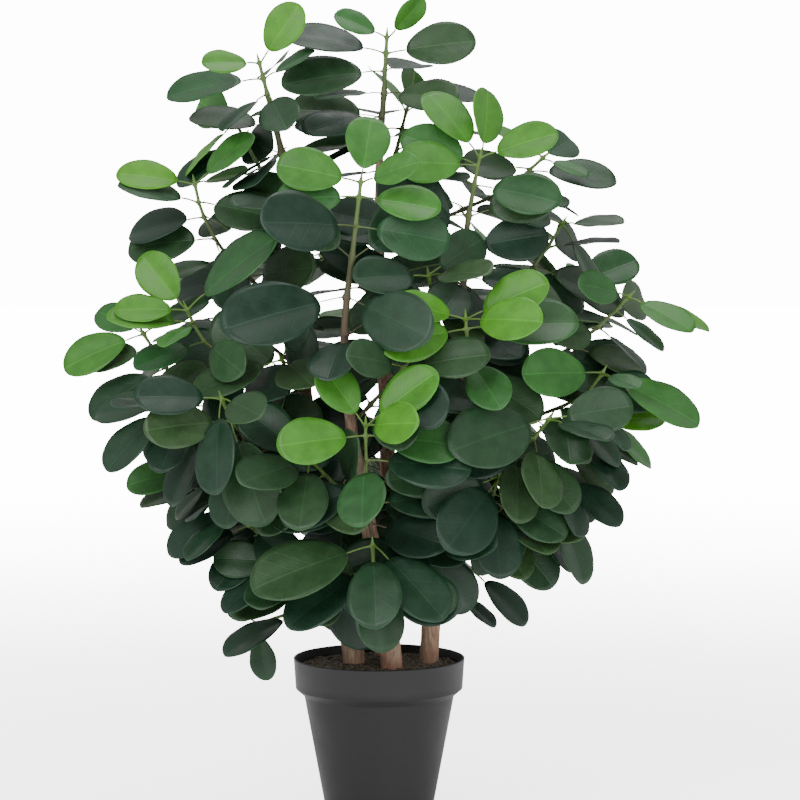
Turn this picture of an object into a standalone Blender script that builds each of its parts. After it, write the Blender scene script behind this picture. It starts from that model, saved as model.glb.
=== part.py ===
"""A bushy potted rubber plant, modelled in metres with +Z up and the front towards -Y.

The origin is the middle of the pot's flat underside. A tapered nursery pot holds a plug of potting soil, and four
woody stems stand in sockets in the soil. Each leafy shoot is one solid, a twig with its bud, leaf stalks and
blades, and butts on the stem that it grew from. A leaf that would touch another turns a little until it is clear.
"""

import math

import bmesh
import bpy
from mathutils import Matrix, Vector
from mathutils.bvhtree import BVHTree

MM = 0.001
CM = 0.01

# Pot
POT_HEIGHT = 158 * MM
POT_BASE_RADIUS = 53.5 * MM
POT_BODY_RADIUS = 75.5 * MM  # the body's top, just under the rim's shoulder
RIM_OVERHANG = 10.5 * MM
RIM_RADIUS = POT_BODY_RADIUS + RIM_OVERHANG
RIM_HEIGHT = 31 * MM
RIM_TAPER = 2 * MM
RIM_SHOULDER = 7 * MM  # height of the sloping step under the rim band
POT_WALL = 1.8 * MM
POT_FLOOR = 2.5 * MM
EDGE_EASE = 1.2 * MM
ROUND_STEPS = 28
DRAIN_HOLES = 5
DRAIN_RADIUS = 5 * MM
DRAIN_CIRCLE = 34 * MM
DRAIN_SIDES = 12

# Soil
SOIL_DROP = 9 * MM  # the soil's edge below the rim
SOIL_MOUND = 5 * MM
SOIL_RINGS = (1, 0.85, 0.6, 0.3)  # shares of the soil's radius where its mound has a ring
ROOT_DEPTH = 60 * MM  # how far a woody stem goes down into the soil

# The pot that the plant's tables below are for. In another pot the plant stands higher or lower with its mouth, and
# its stems' feet spread with its inner radius at the roots.
TABLE_POT_HEIGHT = 158 * MM
TABLE_ROOT_RADIUS = 68.573 * MM

# Wood and leaves
CLEARANCE = 0.4 * MM  # between pieces that rest on or in each other
STEM_SIDES = 8
STEM_STEPS = 2
TWIG_SIDES = 4
TWIG_TIP_RADIUS = 1.7 * MM
TWIG_SWELL = 1.35  # a twig's base radius over its tip radius
NODE_LENGTH = 4 * MM  # the short length of twig that a whorl of leaf stalks stands on
BUD_LENGTH = 9 * MM
BUD_TIP = 0.3  # the bud's tip width over its base width
LONGEST_SPAN = 30 * MM  # a longer bare length of twig gets a ring in its middle
STALK_SHARE = 0.27  # leaf stalk length over blade length
STALK_RADIUS = 1.2 * MM
STALK_SHADED = 0.45  # the share of a stalk that may touch its own twig
BLADE_WIDTH_SHARE = 0.68
BLADE_STATIONS = ((0.30, 0.84), (0.72, 0.96), (1.0, 0.34))  # (share of length, share of width)
YOUNG_THICKNESS = 1.1 * MM
OLD_THICKNESS = 1.7 * MM
TIP_THICKNESS = 0.6  # a blade's thickness at its tip over the rest
RIPENING_LEAVES = 3  # after a shoot's young leaves, how many more it takes for a leaf to be fully thick
BLADE_SAG = 0.10  # the tip's drop below the chord, over the blade's length
BLADE_FOLD = 0.10  # rise of each margin above the midrib, over the half width
LEAF_ROOM = 1.9 * MM  # free space kept round each blade
LEAF_SCALE = 1.04
INNER_STEP = 3.0 * CM  # between the whorls that follow a shoot's listed ones inwards
INNER_CLEAR = 2.5 * CM  # the leafless length of twig next to the stem
INNER_WHORLS = 4
INNER_LENGTH = 66
GOLDEN_ANGLE = 137.5

# A blade turns its upper side up, away from the middle of the plant and towards the light in front.
UP_PULL = 0.60
OUTWARD_PULL = 0.75
LIGHT_PULL = 0.42
ROLL_SPREAD = 16  # degrees
ROLL_STEP = 2.4  # how fast the roll swings from leaf to leaf, in radians

# What a leaf tries in turn to get clear: smaller sizes, and for each size rings of turned and tilted ways.
TRY_SIZES = (1, 0.86, 0.72, 0.6, 0.5, 0.4)
TRY_RINGS = 6
TRY_TURN = 8  # degrees to each next ring
TRY_RISE = 7
STEEPEST_RISE = 85

# How far a leaf may lean along its twig, towards its foot and its bud, and how squarely it leaves its side of the
# twig, all as cosines.
LEAN_BACK = -0.5
LEAN_ON = 0.86
SIDE_FACING = 0.35
PLANT_AXIS = Vector((1.5 * CM, 1.5 * CM, 0))
TWIG_STEPS = 3
LEAST_TWIG_ANGLE = 25  # degrees between a twig and its stem
FOOT_POINTS = 12  # round a twig's foot, where its distance from the stem is measured
FOOT_TRIES = 4

# Woody stems: base radius and top radius in millimetres, then the line that each follows from the soil up, in
# centimetres. The first point's height is where it leaves the soil, set from the soil's own level.
STEMS = {
    "left": (12.5, 4.2, [(-2.4, -0.6), (-3.4, -0.2, 20.5), (-5.0, 0.8, 28), (-6.9, 1.6, 38), (-8.2, 2.0, 49),
                         (-8.8, 1.8, 58), (-9.2, 1.0, 64)]),
    "back": (11.5, 4.0, [(0.6, 3.8), (1.0, 4.6, 25), (0.8, 5.0, 37), (0.2, 4.5, 50), (0.0, 3.2, 60),
                         (0.1, 2.2, 67)]),
    "front": (12.0, 4.6, [(1.3, -3.2), (0.8, -4.6, 20.5), (-0.6, -7.4, 28), (-2.0, -10.0, 36), (-3.3, -12.0, 45)]),
    "right": (10.8, 4.4, [(5.0, 0.8), (5.7, 0.8, 24), (6.8, -0.8, 33), (7.8, -3.2, 42), (8.2, -5.2, 50)]),
}

# Shoots: the woody stem, the height in centimetres where the shoot leaves it (None carries on from its top), the
# points it passes through, ending at its bud, how many of its leaves are young, and its whorls from the bud down.
# A whorl is its distance below the bud in centimetres and its leaves, each (turn, rise, blade length): turn in
# degrees from the front, positive to the right, rise in degrees above level, and length in millimetres. A fourth
# number is how many degrees more the leaf rolls about its own length.
SHOOTS = {
    "shoot_front_low": ("front", 26.6, [(-0.9, -13.6, 32), (-1.1, -17.2, 36), (-1.1, -18.4, 40.8)], 4, [
        (0, (-104, 54, 50), (80, 40, 60), (54, 0, 52)),
        (1.0, (-76, -4, 60), (84, -4, 66)),
        (3.4, (-4, -34, 62), (66, -2, 72)),
        (6.2, (-80, -20, 62), (110, 8, 60)),
    ]),
    "shoot_bright_right": ("right", 42.5, [(8.6, -10.2, 45.0), (8.5, -13.6, 47.6), (8.3, -14.6, 50.6)], 4, [
        (0, (-86, 16, 50), (72, 26, 62), (58, -4, 60)),
        (1.0, (-70, -8, 62), (82, 6, 76)),
        (4.2, (26, -32, 54), (-110, 0, 60)),
        (6.6, (80, -30, 60), (-50, -30, 58)),
    ]),
    "shoot_crown_left": ("left", None, [(-10.2, 0.8, 68.6), (-11.9, 0, 75.4)], 2, [
        (0, (72, 56, 50, 50), (-65, 2, 42, -20)),
        (1.6, (-92, -6, 70, -10), (70, 30, 42), (170, 20, 55)),
        (3.2, (-48, -28, 48), (15, -25, 55)),
        (6.6, (-95, 12, 62), (80, 4, 55)),
        (9.2, (120, 10, 62), (-40, -20, 60), (-150, 12, 60)),
    ]),
    "shoot_crown_back": ("back", None, [(0.5, 1.6, 72.4), (0.8, 0.8, 78)], 1, [
        (0, (70, 44, 38, 30), (-82, 26, 40, 20)),
        (1.6, (-86, 14, 74, 25), (84, 10, 64)),
        (3.4, (-78, -4, 74), (150, 12, 58)),
        (5.6, (52, -2, 62), (96, 2, 72), (-55, 0, 56)),
        (8.0, (-92, 8, 66), (-60, -12, 66), (175, 10, 66)),
        (10.2, (95, 18, 36), (-100, -8, 62)),
    ]),
    "shoot_spine_front": ("front", None, [(-3.1, -12.5, 51), (-2.3, -12.8, 57.5), (-1.6, -13.0, 63.5)], 4, [
        (0, (-86, 14, 58), (62, 20, 44), (165, 58, 56)),
        (1.4, (78, -6, 56), (-78, 0, 56)),
        (4.2, (82, -8, 64), (-62, 4, 82)),
        (7.2, (118, 32, 70), (-120, 35, 60)),
        (11.0, (-62, -10, 92), (48, -18, 76)),
        (14.6, (100, 34, 60), (-20, -35, 62)),
    ]),
    "shoot_spine_right": ("right", None, [(8.4, -6.0, 57), (9.1, -6.5, 62), (9.9, -7.0, 66)], 4, [
        (0, (-118, 52, 62), (84, 20, 56), (160, 62, 56)),
        (0.9, (-84, 4, 56), (-104, 24, 60)),
        (2.8, (64, -8, 64), (-150, 10, 60)),
        (5.8, (84, 18, 64), (-78, -4, 60)),
        (9.0, (-84, 40, 78), (100, 10, 60)),
        (12.0, (100, -4, 52), (-40, -20, 60)),
    ]),
    "shoot_brow_left": ("left", 60, [(-12.6, 2.2, 66), (-14.4, 2.6, 69.5)], 1, [
        (0, (-88, -42, 52), (-140, 20, 56), (150, 15, 56)),
        (2.2, (-80, -10, 58), (170, -5, 60)),
    ]),
    "shoot_shoulder_left": ("left", 50, [(-14.6, 0, 55.4), (-17.3, -1.6, 60), (-18.2, -2.0, 63.4)], 1, [
        (0, (-90, 12, 56), (82, 44, 54), (130, 14, 46)),
        (1.8, (-74, 22, 58), (60, -8, 66)),
        (3.4, (-112, -8, 62), (170, -6, 60)),
        (5.8, (-86, -4, 66), (22, -42, 68)),
        (8.2, (-60, -12, 66), (150, 5, 62)),
    ]),
    "shoot_flank_left": ("left", 40, [(-13.0, -4.4, 44.5), (-17.0, -7.0, 48), (-18.6, -8.0, 51.2)], 4, [
        (0, (-98, 54, 52), (-86, 4, 50), (72, 42, 82)),
        (1.4, (-66, 8, 60), (-52, -16, 42)),
        (3.6, (-62, -14, 54), (34, -22, 52)),
        (6.2, (-88, -28, 52), (8, -50, 62)),
    ]),
    "shoot_far_left": ("left", 35, [(-14.0, -0.6, 39.4), (-20.5, -1.8, 44.4), (-23.4, -2.2, 48.6)], 1, [
        (0, (-89, -20, 62), (-100, 24, 44), (80, 30, 52)),
        (1.8, (-92, -8, 52), (60, 0, 58)),
        (4.0, (-80, -30, 64), (-150, -10, 58)),
    ]),
    "shoot_cheek_left": ("left", 33, [(-12.0, -5.0, 37.5), (-17.5, -8.4, 40), (-20.4, -9.6, 42)], 0, [
        (0, (-74, -42, 62), (-40, 6, 52), (-110, -4, 58)),
        (2.2, (-22, -34, 54), (60, -20, 56)),
        (4.6, (-64, -58, 60), (150, 20, 56)),
    ]),
    "shoot_breast_left": ("left", 30, [(-10.4, -8.0, 36.5), (-13.6, -13.0, 40), (-14.8, -15.0, 43)], 0, [
        (0, (-10, -62, 68), (30, -6, 52), (-70, 6, 60)),
        (2.6, (46, -64, 78), (-50, -20, 62)),
        (5.4, (-24, -42, 66), (80, -10, 62)),
    ]),
    "shoot_hip_left": ("left", 27.5, [(-11.0, -2.0, 31), (-15.4, -4.0, 33), (-17.6, -4.8, 35.5)], 1, [
        (0, (-88, -10, 54), (-50, 6, 54), (170, 25, 50)),
        (1.8, (-70, -12, 54), (-92, -40, 40)),
        (3.6, (-95, -22, 54), (-20, -4, 54)),
        (6.0, (-60, -30, 54), (100, 0, 52)),
    ]),
    "shoot_hem_left": ("left", 25, [(-8.6, -4.6, 28.0), (-12.2, -7.4, 29.6), (-14.0, -8.6, 31.6)], 0, [
        (0, (-85, -4, 58), (-58, -34, 50), (-20, 0, 54)),
        (2.0, (-78, -18, 54), (40, -24, 58)),
        (4.4, (-50, -34, 56), (-130, -6, 54)),
    ]),
    "shoot_apron_left": ("left", 22.4, [(-6.6, -6.0, 24.8), (-9.2, -10.2, 26.6)], 0, [
        (0, (-66, -30, 54), (-16, -20, 60), (-110, 4, 50)),
        (2.4, (-80, 0, 54), (26, -26, 60)),
    ]),
    "shoot_low_left": ("left", 17.4, [(-5.6, -2.0, 19.4), (-7.8, -2.4, 20.8), (-12.4, -1.2, 19.2)], 0, [
        (0, (30, -72, 40), (-110, 24, 26)),
        (4.6, (-76, -22, 62), (100, 30, 30)),
    ]),
    "shoot_front_skirt": ("front", 23.2, [(-0.4, -11.4, 24.4), (-0.4, -15.0, 26.6), (-0.5, -16.0, 29.2)], 0, [
        (0, (-70, -14, 88), (2, -46, 66), (30, -66, 72)),
        (2.2, (-72, -30, 72), (20, -74, 60)),
        (4.2, (70, -14, 60), (-96, 0, 66)),
    ]),
    "shoot_front_bib": ("front", 31.5, [(-4.2, -12.4, 34.6), (-6.6, -14.6, 37.2)], 0, [
        (0, (-64, -6, 66), (-8, -40, 62), (-120, 12, 60)),
        (2.4, (34, -20, 60), (-80, -30, 60)),
    ]),
    "shoot_front_collar": ("front", 40, [(0.0, -14.2, 43.0), (2.6, -15.8, 46.0)], 0, [
        (0, (20, -28, 60), (74, 12, 60), (-60, 20, 50)),
        (2.4, (-20, -48, 58), (96, -8, 62)),
    ]),
    "shoot_brow_right": ("back", 56, [(6.0, 4.6, 59.6), (12.6, 3.8, 62.6), (16.6, 3.2, 66.0)], 1, [
        (0, (-104, 34, 50), (68, -16, 36), (150, 20, 52)),
        (1.8, (94, -2, 64), (-60, 0, 56)),
        (4.0, (82, -20, 52), (40, -20, 54)),
        (6.6, (100, -14, 58), (-170, 5, 58)),
    ]),
    "shoot_temple_right": ("right", 47, [(12.6, -2.6, 52), (16.0, -2.2, 56), (18.2, -2.0, 59.4)], 0, [
        (0, (80, -60, 64), (60, 6, 48), (-40, 16, 52)),
        (2.6, (70, -18, 54), (150, 6, 58)),
        (5.0, (84, -6, 80), (10, -26, 60)),
        (7.4, (120, -10, 60), (40, -40, 58)),
    ]),
    "shoot_far_right": ("right", 40, [(13.8, -1.8, 44), (20.4, -2.4, 48), (24.8, -2.6, 52.2)], 1, [
        (0, (88, -18, 62), (60, -26, 56), (-66, 14, 46)),
        (1.8, (74, -36, 44), (150, 10, 54)),
        (4.2, (62, -34, 46), (-50, -8, 54)),
        (7.4, (90, -14, 56), (10, -36, 56)),
    ]),
    "shoot_cheek_right": ("right", 36, [(14.4, -5.0, 40.0), (20.0, -7.6, 42.6), (21.8, -8.0, 45.0)], 1, [
        (0, (84, -24, 76), (-58, 2, 64), (60, -34, 36)),
        (2.8, (30, -30, 60), (110, 4, 58)),
        (5.6, (-10, -28, 66), (80, -40, 58)),
    ]),
    "shoot_flank_right": ("right", 32.5, [(13.0, -3.2, 35.6), (18.8, -4.2, 37.8), (21.4, -4.4, 40.2)], 1, [
        (0, (82, 6, 50), (88, -34, 56), (-30, 14, 52)),
        (1.6, (100, -26, 46), (40, -24, 58)),
        (4.2, (94, -38, 50), (-40, -10, 62)),
    ]),
    "shoot_breast_right": ("right", 33.8, [(11.0, -7.6, 36.8), (14.6, -12.2, 38.6), (16.4, -13.4, 41.0)], 0, [
        (0, (-52, -10, 84), (40, -6, 58), (90, 4, 58)),
        (2.6, (8, -38, 62), (-80, -22, 60)),
        (5.2, (60, -40, 60), (-20, -50, 60)),
    ]),
    "shoot_hip_right": ("right", 28.5, [(11.4, -3.6, 30.8), (16.2, -6.2, 32.8), (18.0, -7.0, 35.0)], 0, [
        (0, (12, -36, 58), (72, -36, 54), (-60, 0, 56)),
        (2.0, (50, -60, 70), (110, -20, 50)),
        (4.4, (-32, -34, 62), (80, -54, 58)),
    ]),
    "shoot_waist_right": ("right", 29.8, [(8.8, -6.4, 31.6), (10.9, -11.4, 33.2), (11.6, -13.4, 35.4)], 0, [
        (0, (-34, -34, 74), (34, -12, 58), (-90, 0, 58)),
        (2.4, (8, -58, 62), (70, -26, 58)),
    ]),
    "shoot_hem_right": ("right", 26.4, [(9.0, -3.8, 28.4), (11.8, -6.6, 30.4), (12.6, -7.4, 32.2)], 0, [
        (0, (60, -22, 60), (-4, -44, 64), (100, 8, 50)),
        (2.2, (70, -40, 60), (-60, -24, 56)),
    ]),
    "shoot_low_right": ("right", 21.8, [(8.0, -0.6, 23.0), (9.4, -1.2, 24.8)], 0, [
        (0, (80, -40, 54), (84, 10, 40), (-20, 20, 40)),
        (3.0, (76, -34, 40), (-60, -10, 40)),
    ]),
    "shoot_heart_left": ("left", 38, [(-8.0, -5.4, 43.0), (-9.4, -9.0, 46.4)], 0, [
        (0, (-60, -10, 66), (20, -10, 64), (-10, 44, 56)),
        (2.2, (-90, -4, 66), (70, -16, 66)),
        (4.8, (-40, -30, 62), (110, 10, 60), (62, -34, 66)),
        (7.2, (30, 20, 62), (84, -40, 62)),
    ]),
    "shoot_heart_high": ("left", 52, [(-7.6, -3.4, 57.0), (-7.0, -6.2, 61.0)], 0, [
        (0, (-50, 6, 62), (40, -6, 62), (-120, 20, 54)),
        (2.2, (-80, -20, 62), (80, 0, 60)),
        (4.8, (-20, -34, 62), (110, -10, 60)),
    ]),
    "shoot_heart_right": ("right", 45, [(5.6, -7.4, 50.4), (4.8, -10.4, 54.6)], 0, [
        (0, (40, 6, 60), (-50, -4, 60), (120, 30, 52)),
        (2.2, (84, -16, 62), (-80, -20, 62)),
        (4.8, (10, -36, 62), (-110, 6, 60)),
    ]),
    "shoot_heart_low": ("front", 25, [(2.4, -8.4, 27.6), (4.6, -11.2, 30.0)], 0, [
        (0, (50, -8, 62), (-30, -30, 62), (110, 14, 54)),
        (2.2, (84, -28, 62), (-80, 0, 56)),
    ]),
    "shoot_back_crown": ("back", 62, [(1.8, 7.0, 67.0), (2.8, 9.0, 71.0)], 1, [
        (0, (140, 20, 56), (-150, 25, 56), (20, 40, 46)),
        (2.2, (95, 0, 60), (-100, 0, 60)),
        (4.6, (170, -16, 60), (50, 10, 56)),
    ]),
    "shoot_back_left_high": ("back", 51, [(-4.4, 9.2, 55.6), (-7.6, 11.8, 60.6)], 1, [
        (0, (-130, 30, 58), (170, 25, 58), (-60, 16, 54)),
        (2.4, (-95, -4, 64), (120, -4, 60)),
        (5.0, (-160, -20, 66), (-110, -20, 62)),
    ]),
    "shoot_back_right_high": ("back", 47.5, [(6.4, 9.4, 51.8), (11.0, 12.0, 57.0)], 1, [
        (0, (130, 28, 58), (-170, 26, 58), (70, 14, 54)),
        (2.4, (100, -6, 64), (-130, -4, 60)),
        (5.0, (150, -20, 66), (90, -24, 62)),
    ]),
    "shoot_back_spine": ("back", 43.5, [(0.4, 10.4, 46.6), (-0.2, 14.6, 49.0), (-0.3, 16.2, 52.0)], 3, [
        (0, (-110, 30, 54), (110, 30, 54), (180, 16, 62)),
        (1.6, (-140, -6, 62), (140, -6, 64)),
        (4.4, (178, -36, 68), (-90, 0, 60)),
        (7.2, (100, -6, 62), (-140, -28, 62)),
    ]),
    "shoot_back_left_wide": ("left", 44.5, [(-12.6, 6.2, 48.0), (-17.0, 9.6, 51.6)], 1, [
        (0, (-110, 24, 58), (-160, 10, 60), (130, 24, 54)),
        (2.4, (-95, -16, 62), (170, -14, 60)),
        (5.0, (-130, -30, 64), (110, 0, 58)),
    ]),
    "shoot_back_right_wide": ("right", 44.4, [(12.8, 3.0, 47.2), (17.8, 7.8, 50.4), (19.8, 9.2, 53.0)], 2, [
        (0, (110, 24, 58), (160, 10, 60), (-130, 24, 54)),
        (2.4, (92, -16, 62), (-170, -14, 60)),
        (5.0, (130, -30, 64), (60, 0, 56)),
    ]),
    "shoot_back_left_flank": ("left", 37, [(-10.8, 8.0, 39.0), (-14.4, 13.0, 41.4)], 1, [
        (0, (-120, 10, 62), (-170, 6, 62), (-70, 14, 54)),
        (2.4, (-140, -36, 66), (150, -12, 60)),
        (5.0, (-100, -30, 62), (180, -40, 62)),
    ]),
    "shoot_back_right_flank": ("back", 36.5, [(6.2, 9.4, 38.4), (12.0, 13.4, 40.6), (14.0, 14.8, 43.2)], 1, [
        (0, (120, 12, 62), (170, 6, 62), (70, 14, 54)),
        (2.4, (140, -36, 66), (-150, -10, 60)),
        (5.2, (100, -30, 62), (180, -44, 62)),
    ]),
    "shoot_back_middle": ("back", 33, [(-0.4, 10.6, 34.6), (-2.0, 15.4, 37.2)], 0, [
        (0, (-160, 8, 64), (140, 6, 64), (-100, 14, 56)),
        (2.4, (176, -38, 70), (-120, -24, 62)),
        (5.0, (120, -24, 62), (-160, -50, 60)),
    ]),
    "shoot_back_left_low": ("left", 28.8, [(-8.6, 5.4, 31.0), (-11.8, 9.0, 33.4)], 1, [
        (0, (-120, 0, 58), (-70, 8, 50), (175, 4, 58)),
        (2.2, (-120, -24, 56), (-160, -26, 60)),
        (4.6, (-90, -16, 50), (130, -20, 56)),
    ]),
    "shoot_back_right_low": ("right", 27.2, [(9.6, 5.4, 29.2), (12.4, 9.4, 31.6)], 1, [
        (0, (120, -2, 58), (70, 6, 50), (-175, 4, 58)),
        (2.2, (120, -26, 56), (160, -30, 60)),
        (4.6, (90, -18, 50), (-130, -16, 56)),
    ]),
    "shoot_back_skirt": ("back", 26.2, [(-1.0, 9.0, 27.6), (-2.4, 12.6, 29.6)], 0, [
        (0, (-150, -20, 60), (150, -14, 60), (-90, 0, 54)),
        (2.0, (-178, -44, 60), (100, -12, 54)),
        (4.0, (-140, -44, 54), (150, -48, 56)),
    ]),
    "shoot_back_low": ("back", 22.0, [(3.2, 8.2, 23.4), (5.4, 10.2, 25.4)], 0, [
        (0, (130, -18, 54), (-170, -24, 56), (80, 0, 46)),
        (1.8, (110, -40, 48), (170, -48, 50)),
    ]),
}

COLOURS = {  # linear red, green and blue, then roughness
    "pot_black": ((0.040, 0.040, 0.043), 0.55),
    "potting_soil": ((0.045, 0.032, 0.023), 0.95),
    "bark": ((0.170, 0.105, 0.075), 0.85),
    "leaf_green": ((0.035, 0.110, 0.035), 0.40),
}


def material(name):
    """The named finish, made once."""
    found = bpy.data.materials.get(name)
    if found:
        return found
    colour, roughness = COLOURS[name]
    made = bpy.data.materials.new(name)
    made.use_nodes = True
    shader = made.node_tree.nodes["Principled BSDF"]
    shader.inputs["Base Color"].default_value = (*colour, 1)
    shader.inputs["Roughness"].default_value = roughness
    shader.inputs["Metallic"].default_value = 0
    return made


def add_object(name, bm, finish):
    """Turns a finished bmesh into a scene object, with its round faces shaded smooth."""
    bmesh.ops.recalc_face_normals(bm, faces=bm.faces[:])
    mesh = bpy.data.meshes.new(name)
    bm.to_mesh(mesh)
    bm.free()
    mesh.shade_smooth()
    mesh.set_sharp_from_angle(angle=math.radians(40))
    mesh.materials.append(material(finish))
    made = bpy.data.objects.new(name, mesh)
    bpy.context.scene.collection.objects.link(made)
    return made


def cut(target, cutter):
    """Cuts the cutter's shape out of the target, and keeps the cutter as a hidden guide."""
    cutter.hide_render = True
    cutter.display_type = "WIRE"
    boolean = target.modifiers.new("cut_" + cutter.name, "BOOLEAN")
    boolean.object = cutter
    boolean.operation = "DIFFERENCE"
    boolean.solver = "EXACT"


def turned(profile):
    """A solid of revolution about Z from a profile of (radius, height) that starts and ends on the axis."""
    bm = bmesh.new()
    points = [bm.verts.new((radius, 0, height)) for radius, height in profile]
    edges = [bm.edges.new(pair) for pair in zip(points, points[1:])]
    bmesh.ops.spin(bm, geom=points + edges, cent=(0, 0, 0), axis=(0, 0, 1), angle=2 * math.pi,
                   steps=ROUND_STEPS, use_merge=True)
    bmesh.ops.remove_doubles(bm, verts=bm.verts[:], dist=0.01 * MM)
    return bm


# Pot and soil

def pot_inside():
    """The pot's inner line from its floor to its mouth, as (radius, height)."""
    shoulder = POT_HEIGHT - RIM_HEIGHT - RIM_SHOULDER
    return [
        (POT_BASE_RADIUS - POT_WALL, POT_FLOOR),
        (POT_BODY_RADIUS - POT_WALL, shoulder + POT_WALL),
        (RIM_RADIUS - RIM_TAPER - POT_WALL, POT_HEIGHT - RIM_HEIGHT + POT_WALL),
        (RIM_RADIUS - POT_WALL, POT_HEIGHT),
    ]


def inside_radius(height):
    """The pot's inner radius at a height."""
    line = pot_inside()
    for (r0, z0), (r1, z1) in zip(line, line[1:]):
        if height <= z1:
            return r0 + (r1 - r0) * (height - z0) / (z1 - z0)
    return line[-1][0]


def soil_height(radius):
    """The soil's surface height at a distance from the pot's middle."""
    edge = POT_HEIGHT - SOIL_DROP
    return edge + SOIL_MOUND * (1 - (radius / inside_radius(edge)) ** 2)


def make_pot():
    shoulder = POT_HEIGHT - RIM_HEIGHT - RIM_SHOULDER
    outside = [
        (0, 0),
        (POT_BASE_RADIUS - EDGE_EASE, 0),
        (POT_BASE_RADIUS, EDGE_EASE),
        (POT_BODY_RADIUS, shoulder),
        (RIM_RADIUS - RIM_TAPER, POT_HEIGHT - RIM_HEIGHT),
        (RIM_RADIUS, POT_HEIGHT - EDGE_EASE / 2),
        (RIM_RADIUS - EDGE_EASE / 2, POT_HEIGHT),
    ]
    bm = turned(outside + pot_inside()[::-1] + [(0, POT_FLOOR)])
    pot = add_object("nursery_pot", bm, "pot_black")
    for i in range(DRAIN_HOLES):
        around = 2 * math.pi * i / DRAIN_HOLES
        x, y = DRAIN_CIRCLE * math.cos(around), DRAIN_CIRCLE * math.sin(around)
        place = Matrix.Translation((x, y, POT_FLOOR / 2))
        drill = bmesh.new()
        bmesh.ops.create_cone(drill, cap_ends=True, segments=DRAIN_SIDES, radius1=DRAIN_RADIUS,
                              radius2=DRAIN_RADIUS, depth=4 * POT_FLOOR, matrix=place)
        cut(pot, add_object(f"drain_drill_{i}", drill, "pot_black"))


def make_soil(stems):
    floor = POT_FLOOR + CLEARANCE
    edge = POT_HEIGHT - SOIL_DROP
    line = [point for point in pot_inside() if floor < point[1] < edge]
    profile = [(0, floor), (inside_radius(floor) - CLEARANCE, floor)]
    profile += [(radius - CLEARANCE, height) for radius, height in line]
    profile += [(share * (inside_radius(edge) - CLEARANCE), soil_height(share * inside_radius(edge)))
                for share in SOIL_RINGS]
    soil = add_object("potting_soil", turned(profile + [(0, soil_height(0))]), "potting_soil")
    for stem in stems.values():
        cut(soil, add_object(stem.name + "_socket", stem.socket(), "potting_soil"))


# Woody stems and twigs

def in_crown(point):
    """A point of the tables below, in centimetres, where it is over this pot."""
    return Vector(point) * CM + Vector((0, 0, POT_HEIGHT - TABLE_POT_HEIGHT))


def along(turn, rise):
    """The direction that is turned that many degrees from the front and rises that many above level."""
    turn, rise = math.radians(turn), math.radians(rise)
    return Vector((math.sin(turn) * math.cos(rise), -math.cos(turn) * math.cos(rise), math.sin(rise)))


def smooth_line(points, steps):
    """Points on a smooth curve through the given ones."""
    ends = [2 * points[0] - points[1], *points, 2 * points[-1] - points[-2]]
    line = []
    for a, b, c, d in zip(ends, ends[1:], ends[2:], ends[3:]):
        for t in (i / steps for i in range(steps)):
            line.append((2 * b + (c - a) * t + (2 * a - 5 * b + 4 * c - d) * t ** 2
                         + (3 * b - a - 3 * c + d) * t ** 3) / 2)
    return [*line, points[-1]]


def ring_frame(centre, direction, facing, radius):
    """The frame of a ring: its z runs along the wood and its x faces the given way, scaled to the radius."""
    z = direction.normalized()
    x = (facing - z * facing.dot(z)).normalized()
    y = z.cross(x)
    frame = Matrix((x * radius, y * radius, z)).transposed().to_4x4()
    frame.translation = centre
    return frame


def extrude(bm, face):
    """Extrudes one face in place and gives the new end face."""
    return bmesh.ops.extrude_discrete_faces(bm, faces=[face])["faces"][0]


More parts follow.
